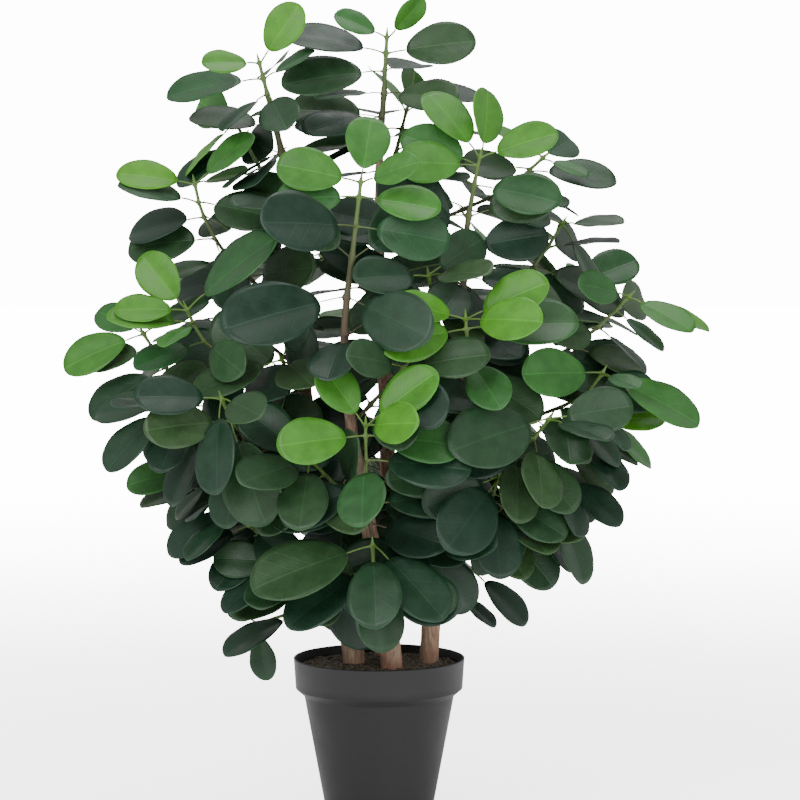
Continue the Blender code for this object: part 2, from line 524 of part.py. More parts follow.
class Wood:
    """A tapered round length of wood that follows a smooth line."""

    def __init__(self, name, points, steps, base_radius, tip_radius):
        self.name = name
        self.line = smooth_line(points, steps)
        self.base_radius, self.tip_radius = base_radius, tip_radius
        self.reach = [0]
        for a, b in zip(self.line, self.line[1:]):
            self.reach.append(self.reach[-1] + (b - a).length)
        self.length = self.reach[-1]
        self.start_direction = None

    def at(self, distance):
        """(point, direction, radius) at a distance along the line."""
        i = max(k for k in range(len(self.line) - 1) if k == 0 or self.reach[k] <= distance)
        a, b = self.line[i], self.line[i + 1]
        share = (distance - self.reach[i]) / (self.reach[i + 1] - self.reach[i])
        before = self.line[max(i - 1, 0)]
        after = self.line[min(i + 2, len(self.line) - 1)]
        direction = (b - before).lerp(after - a, share).normalized()
        if distance == 0 and self.start_direction:
            direction = self.start_direction
        radius = self.base_radius + (self.tip_radius - self.base_radius) * distance / self.length
        return a.lerp(b, share), direction, radius

    def at_height(self, height):
        """The distance along the line where it passes a height."""
        for a, b, reach in zip(self.line, self.line[1:], self.reach):
            if a.z <= height <= b.z:
                return reach + (b - a).length * (height - a.z) / (b.z - a.z)
        return self.length

    def grow(self, bm, places, sides, spare=0):
        """Grows the wood ring by ring, each (distance, way it faces or None), and gives (side faces, end face)."""
        half_side = Matrix.Rotation(math.pi / sides, 4, "Z")
        frames = []
        facing = Vector((0, -1, 0))
        for distance, wanted in places:
            point, direction, radius = self.at(distance)
            if wanted:
                turns = [Matrix.Rotation(2 * math.pi * i / sides, 3, direction) for i in range(sides)]
                square = wanted - direction * wanted.dot(direction)
                facing = max((turn @ square for turn in turns), key=facing.dot)
            frame = ring_frame(point, direction, facing, (radius + spare) / math.cos(math.pi / sides))
            facing = frame.to_3x3().col[0]
            frames.append(frame @ half_side)
        start, end = frames[0], frames[1]
        made = bmesh.ops.create_cone(bm, cap_ends=True, segments=sides, radius1=1, radius2=1, depth=1,
                                     matrix=Matrix.Translation((0, 0, 0.5)))["verts"]
        top = [v for v in made if v.co.z > 0.5]
        foot = [v for v in made if v.co.z < 0.5]
        bmesh.ops.translate(bm, verts=top, vec=(0, 0, -1))
        cap = next(f for f in top[0].link_faces if all(v in top for v in f.verts))
        bmesh.ops.transform(bm, matrix=start, verts=foot)
        bmesh.ops.transform(bm, matrix=end, verts=top)
        spans = [cap_ring(cap)]
        for old, new in zip(frames[1:], frames[2:]):
            cap = extrude(bm, cap)
            bmesh.ops.transform(bm, matrix=new @ old.inverted(), verts=cap.verts[:])
            spans.append(cap_ring(cap))
        return spans, cap


def cap_ring(cap):
    """The side faces round a cap."""
    return [next(f for f in edge.link_faces if f is not cap) for edge in cap.edges]


class Stem(Wood):
    """A woody stem: it stands in the soil and carries shoots."""

    def __init__(self, name, base_radius, top_radius, points):
        spread = inside_radius(soil_height(0) - ROOT_DEPTH) / TABLE_ROOT_RADIUS
        x, y = (value * CM * spread for value in points[0])
        surface = soil_height(math.hypot(x, y))
        line = [Vector((x, y, surface - ROOT_DEPTH)), Vector((x, y, surface))]
        line += [in_crown(point) for point in points[1:]]
        super().__init__("stem_" + name, line, STEM_STEPS, base_radius * MM, top_radius * MM)
        bm = self.solid()
        self.surface = BVHTree.FromBMesh(bm)
        bm.free()

    def rings(self):
        return [(reach, None) for reach in self.reach]

    def grow_bare(self, bm):
        self.grow(bm, self.rings(), STEM_SIDES)

    def solid(self):
        bm = bmesh.new()
        self.grow_bare(bm)
        return bm

    def socket(self):
        """The hole that the stem stands in: the stem with clearance all round and below."""
        bm = bmesh.new()
        places = [place for place in self.rings() if place[0] < 2 * ROOT_DEPTH]  # past the soil's surface
        self.grow(bm, places, STEM_SIDES, spare=CLEARANCE)
        foot = min(v.co.z for v in bm.verts)
        bmesh.ops.translate(bm, verts=[v for v in bm.verts if v.co.z < foot + CLEARANCE], vec=(0, 0, -CLEARANCE))
        return bm


class Leaf:
    """A leaf stalk and blade: where it stands on its twig, which way it points, and how big and thick it is."""

    def __init__(self, node, direction, normal, length, age):
        self.direction = direction
        self.normal = normal
        self.side = normal.cross(direction)
        self.length = length
        self.width = BLADE_WIDTH_SHARE * length
        self.thickness = YOUNG_THICKNESS + (OLD_THICKNESS - YOUNG_THICKNESS) * age
        self.node = node
        self.base = node + direction * (STALK_SHARE * length)

    def ring(self, share, width, room=0):
        """The four corners of the blade at a share of its length: a margin, the top, the other margin, the back."""
        sag = self.normal * (BLADE_SAG * self.length * share ** 2)
        middle = self.base + self.direction * (share * self.length) - sag
        half = self.side * (width / 2 + room)
        lift = self.normal * (BLADE_FOLD * width / 2)
        thick = self.normal * (self.thickness * (TIP_THICKNESS if share == 1 else 1) / 2 + room)
        return [middle + half + lift, middle + thick, middle - half + lift, middle - thick]

    def rings(self, room=0):
        stalk = self.ring(0, 2 * STALK_RADIUS, room)
        return [stalk] + [self.ring(share, width * self.width, room) for share, width in BLADE_STATIONS]

    def stalk_ring(self, share, room=0):
        """The stalk's corners at a share of its length, for the space that it takes."""
        middle = self.node.lerp(self.base, share)
        spread = STALK_RADIUS + (1 - share) * NODE_LENGTH / 2 + room
        across, up = self.side * spread, self.normal * spread
        return [middle + across, middle + up, middle - across, middle - up]

    def space(self, from_share, room=0):
        """The leaf's shape as a search tree, from a share of its stalk on."""
        return lofted([self.stalk_ring(from_share, room), *self.rings(room)])


def lofted(rings):
    """A search tree of the skin over rings of corners."""
    points = [corner for ring in rings for corner in ring]
    n = len(rings[0])
    faces = [(r * n + i, r * n + (i + 1) % n, (r + 1) * n + (i + 1) % n, (r + 1) * n + i)
             for r in range(len(rings) - 1) for i in range(n)]
    faces += [tuple(range(n)), tuple(range(len(points) - n, len(points)))]
    return BVHTree.FromPolygons(points, faces)


class Space:
    """The space that is already taken, piece by piece, so that a new leaf can be tried in it."""

    def __init__(self):
        self.taken = []

    def add(self, owner, tree, centre, reach):
        self.taken.append((owner, tree, centre, reach))

    def free(self, leaf, owner):
        """Whether a leaf touches nothing: its own twig is left out near its stalk's foot."""
        centre = leaf.base + leaf.direction * (leaf.length / 2)
        reach = leaf.length * (0.5 + STALK_SHARE)
        whole = leaf.space(0, LEAF_ROOM)
        outer = leaf.space(STALK_SHADED, LEAF_ROOM)
        for other, tree, middle, radius in self.taken:
            if (centre - middle).length < reach + radius:
                if (outer if other == owner else whole).overlap(tree):
                    return False
        return True


def leaf_normal(direction, place, roll):
    """The way a blade's upper side faces at a place in the crown."""
    outward = place - PLANT_AXIS
    outward.z = 0
    pull = Vector((0, -LIGHT_PULL, UP_PULL)) + outward.normalized() * OUTWARD_PULL
    normal = (pull - direction * pull.dot(direction)).normalized()
    return Matrix.Rotation(math.radians(roll), 3, direction) @ normal


def off_twig(direction, axis):
    """A leaf's direction kept from lying along its twig, either way."""
    lean = direction.dot(axis)
    out = (direction - axis * lean).normalized()
    lean = max(LEAN_BACK, min(LEAN_ON, lean))
    return out * math.sqrt(1 - lean ** 2) + axis * lean


def tries():
    """Changes of (turn, rise, size) that a leaf tries in order until it is clear."""
    for size in TRY_SIZES:
        yield 0, 0, size
        for ring in range(1, TRY_RINGS + 1):
            for i in range(6 * ring):
                around = 2 * math.pi * i / (6 * ring)
                yield TRY_TURN * ring * math.cos(around), TRY_RISE * ring * math.sin(around), size


class Shoot(Wood):
    """A twig with its bud and its whorls of leaves."""

    def __init__(self, name, stem, height, points, young, whorls):
        tip = [in_crown(point) for point in points]
        base_radius = TWIG_TIP_RADIUS * TWIG_SWELL
        if height is None:
            foot, direction, base_radius = stem.at(stem.length)
            start = foot + direction * CLEARANCE
        else:
            foot, direction, stem_radius = stem.at(stem.at_height(in_crown((0, 0, height)).z))
            lean = (tip[0] - foot).normalized()
            angle = max(lean.angle(direction), math.radians(LEAST_TWIG_ANGLE))
            corner = base_radius / math.cos(math.pi / TWIG_SIDES)
            out = (stem_radius + CLEARANCE + corner * abs(math.cos(angle))) / math.sin(angle)
            for _ in range(FOOT_TRIES):
                ring = ring_frame(foot + lean * out, lean, direction, corner)
                rim = [ring @ along(360 * i / FOOT_POINTS, 0) for i in range(FOOT_POINTS)]
                nearest = min(stem.surface.find_nearest(point)[3] for point in rim)
                out += (CLEARANCE - nearest) / math.sin(angle)
            start = foot + lean * out
        super().__init__(name, [start, *tip], TWIG_STEPS, base_radius, TWIG_TIP_RADIUS)
        if height is None:
            self.start_direction = direction  # its foot lies flat on the stem's top
        self.young = young
        self.whorls = [(self.length - below * CM, leaves) for below, *leaves in whorls]
        for _ in range(INNER_WHORLS):
            distance = self.whorls[-1][0] - INNER_STEP
            if distance > INNER_CLEAR:
                turn = GOLDEN_ANGLE * (len(self.whorls) + len(name))
                self.whorls.append((distance, [(turn, 8, INNER_LENGTH), (turn + 180, -6, INNER_LENGTH)]))
        self.leaves = []

    def grow_bare(self, bm):
        """The twig ring by ring up to its bud, and the side faces of each whorl's node, from the bud down."""
        places = [(0, None)]
        spans_of = []
        for distance, leaves in reversed(self.whorls):
            low = max(distance - NODE_LENGTH, places[-1][0] + NODE_LENGTH)
            if low - places[-1][0] > LONGEST_SPAN:
                places.append(((low + places[-1][0]) / 2, None))
            facing = along(*leaves[0][:2])
            places += [(low, facing), (min(low + NODE_LENGTH, self.length), facing)]
            spans_of.append(len(places) - 2)
        spans, cap = self.grow(bm, places, TWIG_SIDES)
        bud = extrude(bm, cap)
        _, direction, _ = self.at(self.length)
        middle = bud.calc_center_median()
        for vertex in bud.verts:
            vertex.co = middle + (vertex.co - middle) * BUD_TIP + direction * BUD_LENGTH
        return [spans[i] for i in reversed(spans_of)]

    def leaf_out(self, space, count):
        """Places the leaves, each in the first clear way that it tries or not at all, and gives their number."""
        bm = bmesh.new()
        spans = self.grow_bare(bm)
        bmesh.ops.recalc_face_normals(bm, faces=bm.faces[:])
        number = 0
        for (distance, leaves), sides in zip(self.whorls, spans):
            node, axis, radius = self.at(max(distance - NODE_LENGTH / 2, 0))
            placed = []
            for turn, rise, length, *twist in leaves:
                age = min(1, max(0, (number + 1 - self.young) / (RIPENING_LEAVES + 1))) if self.young else 1
                number += 1
                roll = ROLL_SPREAD * math.sin(ROLL_STEP * (count + number)) + sum(twist)
                for more_turn, more_rise, size in tries():
                    rise_tried = max(-STEEPEST_RISE, min(STEEPEST_RISE, rise + more_rise))
                    direction = off_twig(along(turn + more_turn, rise_tried), axis)
                    side = max((i for i in range(TWIG_SIDES) if all(i != leaf.side_index for leaf in placed)),
                               key=lambda i: sides[i].normal.dot(direction))
                    if sides[side].normal.dot(direction) < SIDE_FACING:
                        continue
                    foot = node + sides[side].normal * radius
                    normal = leaf_normal(direction, node + direction * length * MM, roll)
                    leaf = Leaf(foot, direction, normal, length * size * LEAF_SCALE * MM, age)
                    leaf.side_index = side
                    if space.free(leaf, self.name):
                        placed.append(leaf)
                        space.add(self.name, leaf.space(0), leaf.base + leaf.direction * leaf.length / 2,
                                  leaf.length * (0.5 + STALK_SHARE))
                        break
            self.leaves.append(placed)
        bm.free()
        return number

    def solid(self):
        """One closed solid: each leaf is extruded from the side of its node that faces its way."""
        bm = bmesh.new()
        for sides, leaves in zip(self.grow_bare(bm), self.leaves):
            for leaf in leaves:
                face = sides[leaf.side_index]
                for ring in leaf.rings():
                    face = extrude_to(bm, face, ring)
        return bm


def extrude_to(bm, face, corners):
    """Extrudes a face of four corners on to the new corners, turned so that it twists least."""
    end = extrude(bm, face)
    old_middle = end.calc_center_median()
    new_middle = sum(corners, Vector()) / 4
    old = [(v.co - old_middle).normalized() for v in end.verts]
    new = [(corner - new_middle).normalized() for corner in corners]
    shift = max(range(4), key=lambda k: sum(old[i].dot(new[(i + k) % 4]) for i in range(4)))
    for i, vertex in enumerate(end.verts):
        vertex.co = corners[(i + shift) % 4]
    return end


def main():
    for old in list(bpy.data.objects):
        bpy.data.objects.remove(old)
    stems = {name: Stem(name, *row) for name, row in STEMS.items()}
    shoots = [Shoot(name, stems[row[0]], *row[1:]) for name, row in SHOOTS.items()]
    space = Space()
    for wood in [*stems.values(), *shoots]:
        bm = bmesh.new()
        wood.grow_bare(bm)
        middle, _, _ = wood.at(wood.length / 2)
        space.add(wood.name, BVHTree.FromBMesh(bm), middle, max((v.co - middle).length for v in bm.verts))
        bm.free()
    count = 0
    for shoot in shoots:
        count += shoot.leaf_out(space, count)
    make_pot()
    make_soil(stems)
    for stem in stems.values():
        add_object(stem.name, stem.solid(), "bark")
    for shoot in shoots:
        add_object(shoot.name, shoot.solid(), "leaf_green")
    return stems, shoots


main()
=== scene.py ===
import math
import random
from itertools import combinations

import bmesh
import bpy
from mathutils import Matrix, Vector, noise
from mathutils.bvhtree import BVHTree


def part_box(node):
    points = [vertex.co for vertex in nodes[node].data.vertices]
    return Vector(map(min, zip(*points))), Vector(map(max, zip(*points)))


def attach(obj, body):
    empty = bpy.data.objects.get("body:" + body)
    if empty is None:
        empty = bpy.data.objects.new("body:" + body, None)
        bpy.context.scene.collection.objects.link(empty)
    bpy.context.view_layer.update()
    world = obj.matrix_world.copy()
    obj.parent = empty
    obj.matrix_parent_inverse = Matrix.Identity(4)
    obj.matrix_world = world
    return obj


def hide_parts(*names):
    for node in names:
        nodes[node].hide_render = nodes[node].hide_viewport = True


# A bushy rubber plant in a nursery pot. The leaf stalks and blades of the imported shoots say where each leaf
# is, and every leaf, twig, stem, the soil and the pot are made again here, finer.

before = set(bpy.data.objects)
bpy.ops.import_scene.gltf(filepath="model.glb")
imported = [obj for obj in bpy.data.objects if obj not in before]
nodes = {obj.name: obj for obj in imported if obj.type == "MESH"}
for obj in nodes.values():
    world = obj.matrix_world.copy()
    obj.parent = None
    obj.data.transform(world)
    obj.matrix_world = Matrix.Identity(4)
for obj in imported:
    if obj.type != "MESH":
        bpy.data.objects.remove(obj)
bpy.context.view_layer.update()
mm = 0.001
stemNames = sorted(name for name in nodes if name.startswith("stem_"))
shootNames = sorted(name for name in nodes if name.startswith("shoot_"))
print("frame loaded:", len(shootNames), "shoots on", len(stemNames), "stems")

mergeDistance = 0.01 * mm
# the widest angles at which two triangles are joined into a four-sided face
quadAngles = {"angle_face_threshold": math.radians(60), "angle_shape_threshold": math.radians(180)}


def toLinear(hexColour):
    # sRGB hex to linear red, green, blue and alpha
    parts = [int(hexColour[i:i + 2], 16) / 255 for i in (1, 3, 5)]
    return [*(c / 12.92 if c <= 0.04045 else ((c + 0.055) / 1.055) ** 2.4 for c in parts), 1]


def addNode(tree, kind, inputs=None, **settings):
    # adds a node with its settings; an input is a value, a colour or the socket that feeds it
    # (a Mix node's colours are its sockets 6 and 7, and its mixed colour is its output 2)
    made = tree.nodes.new(kind)
    for key, value in settings.items():
        setattr(made, key, value)
    for key, value in (inputs or {}).items():
        if isinstance(value, bpy.types.NodeSocket):
            tree.links.new(value, made.inputs[key])
        else:
            made.inputs[key].default_value = value
    return made


def ranged(value, span, result):
    # the inputs of a Map Range node that turns one span of values into another
    return {0: value, 1: span[0], 2: span[1], 3: result[0], 4: result[1]}


def setStops(ramp, stops):
    # places the colours of a colour ramp
    elements = ramp.color_ramp.elements
    while len(elements) < len(stops):
        elements.new(0.5)
    for element, (position, hexColour) in zip(elements, stops):
        element.position = position
        element.color = toLinear(hexColour)
    return ramp


def newMaterial(name, **inputs):
    # a Principled material; what is the same all over is set on the shader's own sockets
    material = bpy.data.materials.new(name)
    material.use_nodes = True
    shader = material.node_tree.nodes["Principled BSDF"]
    for key, value in inputs.items():
        shader.inputs[key.replace("_", " ")].default_value = value
    return material, material.node_tree, shader


def mergedCopy(name):
    # the CAD node's triangles joined into one skin
    bm = bmesh.new()
    bm.from_mesh(nodes[name].data)
    bmesh.ops.remove_doubles(bm, verts=bm.verts, dist=mergeDistance)
    bmesh.ops.recalc_face_normals(bm, faces=bm.faces)
    return bm


def addPiece(name, bm, materials, node):
    # makes a smooth piece of the object that rides on the plant's one body and stands for a CAD node
    mesh = bpy.data.meshes.new(name)
    bm.to_mesh(mesh)
    bm.free()
    for material in materials:
        mesh.materials.append(material)
    mesh.shade_smooth()
    piece = bpy.data.objects.new(name, mesh)
    bpy.context.scene.collection.objects.link(piece)
    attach(piece, "root")
    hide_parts(node)
    return piece


def roundOff(piece, levels):
    # a live Subdivision Surface
    subsurf = piece.modifiers.new("round", "SUBSURF")
    subsurf.levels = levels
    subsurf.render_levels = levels
    return subsurf


noiseSpan = (0.3, 0.7)  # nearly all values of a noise texture lie between these
leafTints = {
    "ripening": [(0.0, "#417b14"), (0.14, "#366b1c"), (0.32, "#2a5d22"), (0.6, "#1c4522"), (1.0, "#18331e")],
    "bluish": ("#142f26", 0.55),  # with the share that the bluest ripe leaf takes of it
    "olive": ("#2d3d1a", 0.45),
    "leafByLeaf": (1.35, 0.68),  # how light the olive and the bluish leaves are
    "mottle": (0.84, 1.16),  # how light a leaf's darker and paler patches are
    "mottleSize": 14 * mm,
    "ribLight": 1.4,  # how much lighter the rib, the side veins and the margin are than the blade (the margin partly by its own paler edge, partly by a painted highlight)
    "veinLight": 1.12,
    "marginPaleAndHighlight": 1.6,
    "ribFade": (0.004, 0.022),  # where the rib fades out, in blade widths from its middle
    "laterals": 11,  # side veins on a blade, those of both sides counted
    "slant": -8.0,  # half vein spaces that a side vein climbs towards the tip, per blade width outwards
    "veinFade": (0.0, 0.16),  # where a side vein fades out, in half vein spaces from its middle
    "marginFade": (0.476, 0.497),  # where the margin comes in, on a blade drawn as a disc of radius 0.5
    "ribDepth": -2.0,  # how deep the rib and the veins are, over the height of the grain
    "veinDepth": -0.8,
    "grainSize": 1.6 * mm,  # the leathery grain, coarser than life so that it shows
    "relief": {"Strength": 0.35, "Distance": 0.25 * mm},
    "roughness": (0.36, 0.50),
    "under": [(0.0, "#7fae3c"), (0.5, "#3d6a30"), (1.0, "#27472a")],
    "underRib": ("#7d9c52", 0.6),  # with its share at the middle
    "underRibFade": (0.010, 0.034),
    "underRoughness": (0.52, 0.68),
}


def makeLeafTop():
    # Waxed rubber plant leaf: leathery, deep green with a broad soft gloss, paler at the rib, and paler at
    # the margin, partly its own pale edge and partly a painted highlight.
    material, tree, shader = newMaterial("waxed leaf upper side", IOR=1.42, Specular_IOR_Level=0.38)
    uv = addNode(tree, "ShaderNodeUVMap", uv_map="blade")
    parts = addNode(tree, "ShaderNodeSeparateXYZ", {0: uv.outputs[0]})
    fromRib = addNode(tree, "ShaderNodeMath", {0: parts.outputs[0], 1: 0.5}, operation="SUBTRACT")
    fromRib = addNode(tree, "ShaderNodeMath", {0: fromRib.outputs[0]}, operation="ABSOLUTE")
    centred = addNode(tree, "ShaderNodeVectorMath", {0: uv.outputs[0], 1: (0.5, 0.5, 0)},
                      operation="SUBTRACT")
    radius = addNode(tree, "ShaderNodeVectorMath", {0: centred.outputs[0]}, operation="LENGTH")
    rib = addNode(tree, "ShaderNodeMapRange", ranged(fromRib.outputs[0], leafTints["ribFade"], (1, 0)))
    # the margin is drawn paler: partly the leaf's own pale edge, partly a painted highlight along its rim
    margin = addNode(tree, "ShaderNodeMapRange",
                     ranged(radius.outputs["Value"], leafTints["marginFade"], (0, 1)))
    climb = addNode(tree, "ShaderNodeMath", {0: parts.outputs[1], 1: leafTints["laterals"]},
                    operation="MULTIPLY")
    slant = addNode(tree, "ShaderNodeMath",
                    {0: fromRib.outputs[0], 1: leafTints["slant"], 2: climb.outputs[0]},
                    operation="MULTIPLY_ADD")
    wave = addNode(tree, "ShaderNodeMath", {0: slant.outputs[0], 1: 1.0}, operation="PINGPONG")
    veins = addNode(tree, "ShaderNodeMapRange", ranged(wave.outputs[0], leafTints["veinFade"], (1, 0)))
    ripeness = addNode(tree, "ShaderNodeAttribute", attribute_name="ripeness")
    tint = addNode(tree, "ShaderNodeAttribute", attribute_name="tint")
    place = addNode(tree, "ShaderNodeTexCoord")
    mottle = addNode(tree, "ShaderNodeTexNoise", {"Vector": place.outputs["Object"],
                                                  "Scale": 1 / leafTints["mottleSize"], "Detail": 3})
    grain = addNode(tree, "ShaderNodeTexNoise", {"Vector": place.outputs["Object"],
                                                 "Scale": 1 / leafTints["grainSize"], "Detail": 1})
    green = addNode(tree, "ShaderNodeValToRGB", {0: ripeness.outputs["Fac"]})
    setStops(green, leafTints["ripening"])
    # The random tint of a leaf turns it bluish above one half and olive below, more so as it ripens.
    bluish, mostBluish = leafTints["bluish"]
    olive, mostOlive = leafTints["olive"]
    cool = addNode(tree, "ShaderNodeMapRange", ranged(tint.outputs["Fac"], (0.5, 1), (0, mostBluish)))
    warm = addNode(tree, "ShaderNodeMapRange", ranged(tint.outputs["Fac"], (0.5, 0), (0, mostOlive)))
    coolShare = addNode(tree, "ShaderNodeMath", {0: cool.outputs[0], 1: ripeness.outputs["Fac"]},
                        operation="MULTIPLY")
    warmShare = addNode(tree, "ShaderNodeMath", {0: warm.outputs[0], 1: ripeness.outputs["Fac"]},
                        operation="MULTIPLY")
    cooled = addNode(tree, "ShaderNodeMix",
                     {0: coolShare.outputs[0], 6: green.outputs[0], 7: toLinear(bluish)}, data_type="RGBA")
    warmed = addNode(tree, "ShaderNodeMix",
                     {0: warmShare.outputs[0], 6: cooled.outputs[2], 7: toLinear(olive)}, data_type="RGBA")
    shade = addNode(tree, "ShaderNodeMapRange", ranged(mottle.outputs[0], noiseSpan, leafTints["mottle"]))
    light = addNode(tree, "ShaderNodeMapRange",
                    ranged(tint.outputs["Fac"], (0, 1), leafTints["leafByLeaf"]))
    light = addNode(tree, "ShaderNodeMix", {0: ripeness.outputs["Fac"], 2: 1.0, 3: light.outputs[0]})
    shade = addNode(tree, "ShaderNodeMath", {0: shade.outputs[0], 1: light.outputs[0]},
                    operation="MULTIPLY")
    mottled = addNode(tree, "ShaderNodeVectorMath", {0: warmed.outputs[2], "Scale": shade.outputs[0]},
                      operation="SCALE")
    veinLight = addNode(tree, "ShaderNodeMapRange",
                        ranged(veins.outputs[0], (0, 1), (1, leafTints["veinLight"])))
    ribLight = addNode(tree, "ShaderNodeMapRange",
                       ranged(rib.outputs[0], (0, 1), (1, leafTints["ribLight"])))
    marginPaleAndHighlight = addNode(tree, "ShaderNodeMapRange",
                          ranged(margin.outputs[0], (0, 1), (1, leafTints["marginPaleAndHighlight"])))
    lightest = addNode(tree, "ShaderNodeMath", {0: ribLight.outputs[0], 1: marginPaleAndHighlight.outputs[0]},
                       operation="MAXIMUM")
    lightest = addNode(tree, "ShaderNodeMath", {0: lightest.outputs[0], 1: veinLight.outputs[0]},
                       operation="MAXIMUM")
    veined = addNode(tree, "ShaderNodeVectorMath", {0: mottled.outputs[0], "Scale": lightest.outputs[0]},
                     operation="SCALE")
    tree.links.new(veined.outputs[0], shader.inputs["Base Color"])
    sheen = addNode(tree, "ShaderNodeMapRange",
                    ranged(mottle.outputs[0], noiseSpan, leafTints["roughness"]))
    tree.links.new(sheen.outputs[0], shader.inputs["Roughness"])
    furrow = addNode(tree, "ShaderNodeMath",
                     {0: veins.outputs[0], 1: leafTints["veinDepth"], 2: grain.outputs[0]},
                     operation="MULTIPLY_ADD")
    furrow = addNode(tree, "ShaderNodeMath",
                     {0: rib.outputs[0], 1: leafTints["ribDepth"], 2: furrow.outputs[0]},
                     operation="MULTIPLY_ADD")
    bump = addNode(tree, "ShaderNodeBump", {**leafTints["relief"], "Height": furrow.outputs[0]})
    tree.links.new(bump.outputs[0], shader.inputs["Normal"])
    return material


def makeLeafUnder():
    # The leaf's underside: no wax, so paler and matt, with the rib standing out.
    material, tree, shader = newMaterial("matt leaf underside", IOR=1.42)
    uv = addNode(tree, "ShaderNodeUVMap", uv_map="blade")
    parts = addNode(tree, "ShaderNodeSeparateXYZ", {0: uv.outputs[0]})
    fromRib = addNode(tree, "ShaderNodeMath", {0: parts.outputs[0], 1: 0.5}, operation="SUBTRACT")
    fromRib = addNode(tree, "ShaderNodeMath", {0: fromRib.outputs[0]}, operation="ABSOLUTE")
    ribColour, ribShare = leafTints["underRib"]
    rib = addNode(tree, "ShaderNodeMapRange",
                  ranged(fromRib.outputs[0], leafTints["underRibFade"], (ribShare, 0)))
    ripeness = addNode(tree, "ShaderNodeAttribute", attribute_name="ripeness")
    place = addNode(tree, "ShaderNodeTexCoord")
    mottle = addNode(tree, "ShaderNodeTexNoise", {"Vector": place.outputs["Object"],
                                                  "Scale": 1 / leafTints["mottleSize"], "Detail": 3})
    green = setStops(addNode(tree, "ShaderNodeValToRGB", {0: ripeness.outputs["Fac"]}), leafTints["under"])
    ribbed = addNode(tree, "ShaderNodeMix",
                     {0: rib.outputs[0], 6: green.outputs[0], 7: toLinear(ribColour)}, data_type="RGBA")
    tree.links.new(ribbed.outputs[2], shader.inputs["Base Color"])
    dry = addNode(tree, "ShaderNodeMapRange",
                  ranged(mottle.outputs[0], noiseSpan, leafTints["underRoughness"]))
    tree.links.new(dry.outputs[0], shader.inputs["Roughness"])
    return material


twigTints = {
    "ripening": [(0.0, "#46661f"), (0.35, "#425026"), (0.7, "#4b4530"), (1.0, "#524334")],  # bud to foot
    "streakSize": 2.5 * mm,
    "unevenness": (0.30, -0.15),  # how far a streak shifts the ripeness, and the least shift
    "roughness": (0.42, 0.75),
    "relief": {"Strength": 0.4, "Distance": 0.3 * mm},
}


def makeTwigSkin():
    # Soft young wood: green and smooth at the bud, corky brown towards the foot.
    material, tree, shader = newMaterial("young twig skin", IOR=1.45)
    ripeness = addNode(tree, "ShaderNodeAttribute", attribute_name="ripeness")
    place = addNode(tree, "ShaderNodeTexCoord")
    streaks = addNode(tree, "ShaderNodeTexNoise", {"Vector": place.outputs["Object"],
                                                   "Scale": 1 / twigTints["streakSize"], "Detail": 3})
    shift, leastShift = twigTints["unevenness"]
    shifted = addNode(tree, "ShaderNodeMath", {0: streaks.outputs[0], 1: shift, 2: leastShift},
                      operation="MULTIPLY_ADD")
    share = addNode(tree, "ShaderNodeMath", {0: ripeness.outputs["Fac"], 1: shifted.outputs[0]},
                    operation="ADD")
    colour = setStops(addNode(tree, "ShaderNodeValToRGB", {0: share.outputs[0]}), twigTints["ripening"])
    tree.links.new(colour.outputs[0], shader.inputs["Base Color"])
    dry = addNode(tree, "ShaderNodeMapRange",
                  ranged(ripeness.outputs["Fac"], (0, 1), twigTints["roughness"]))
    tree.links.new(dry.outputs[0], shader.inputs["Roughness"])
    bump = addNode(tree, "ShaderNodeBump", {**twigTints["relief"], "Height": streaks.outputs[0]})
    tree.links.new(bump.outputs[0], shader.inputs["Normal"])
    return material


barkTints = {
    "colours": [(0.25, "#54443a"), (0.5, "#8d7663"), (0.72, "#b09a80")],
    "reddish": ("#8c5a4a", 0.6),  # with its share in the middle of a patch
    "patchSize": 45 * mm,
    "patchEdge": (0.45, 0.65),
    "ridgeWidth": 3.0 * mm,  # across the grain
    "ridgeLength": 22 * mm,  # along it
    "porePitch": 7 * mm,
    "poreEdge": (0.08, 0.2),  # in pore pitches from a pore's middle
    "poreHeight": 0.5,
    "roughness": (0.9, 0.68),
    "relief": {"Strength": 0.8, "Distance": 1.0 * mm},
}


